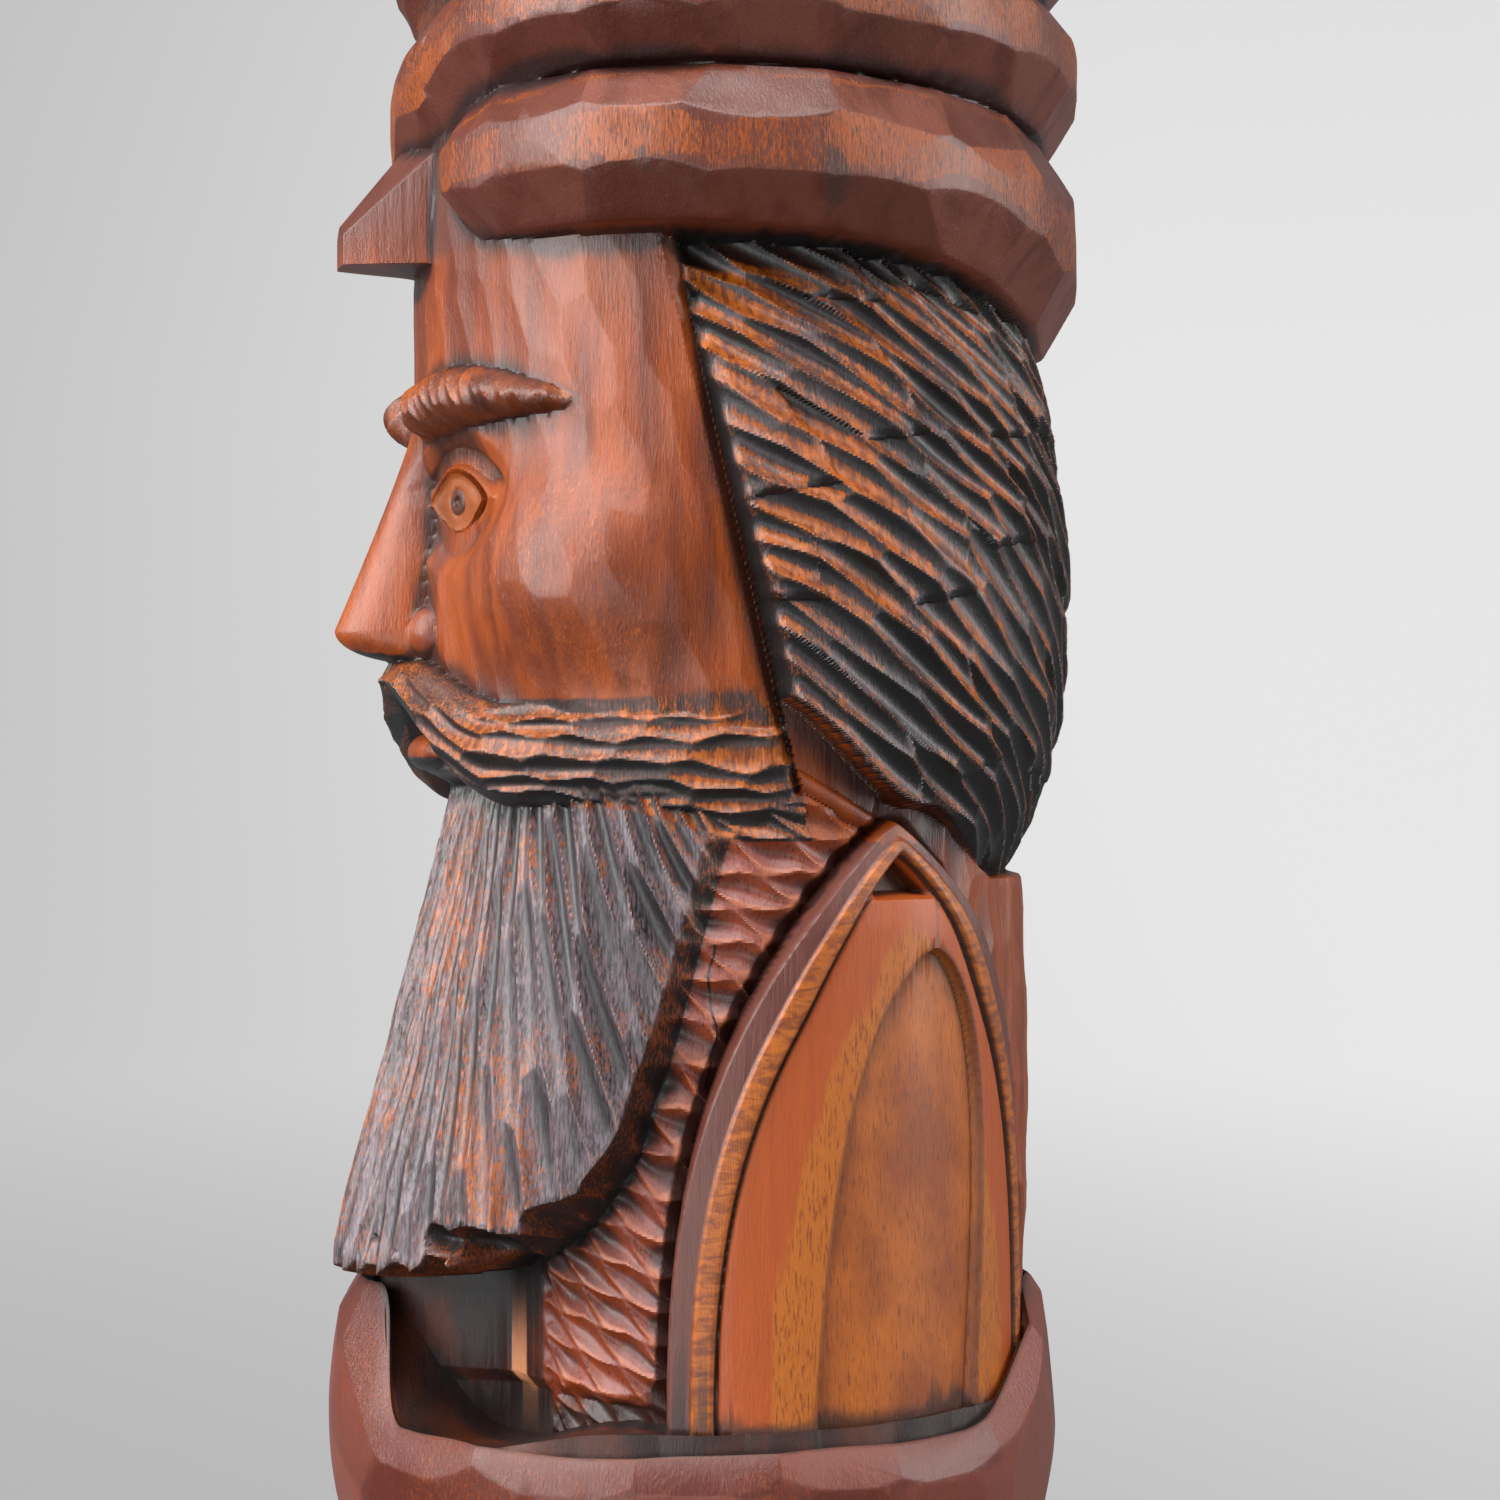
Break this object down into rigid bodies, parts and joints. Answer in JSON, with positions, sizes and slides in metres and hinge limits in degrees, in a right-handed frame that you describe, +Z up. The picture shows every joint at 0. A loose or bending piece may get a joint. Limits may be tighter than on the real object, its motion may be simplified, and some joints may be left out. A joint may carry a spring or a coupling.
{
  "type": "totem pole",
  "caption": "Carved wooden totem pole section: a bearded man in a wound turban rises from a faceted basin on a round foot, under a low plumed crown.",
  "frame": {"origin": "middle of the flat underside of the foot, on the log's axis", "axes": "+Z up along the log's axis; the figure looks along -Y and its left side faces +X"},
  "size_m": [0.26, 0.2585, 0.698],
  "materials": {
    "wood": "dark reddish-brown stain under gloss varnish, worn to orange on the high edges"
  },
  "bodies": {
    "root": {"carved_pole": "wood"}
  },
  "joints": []
}
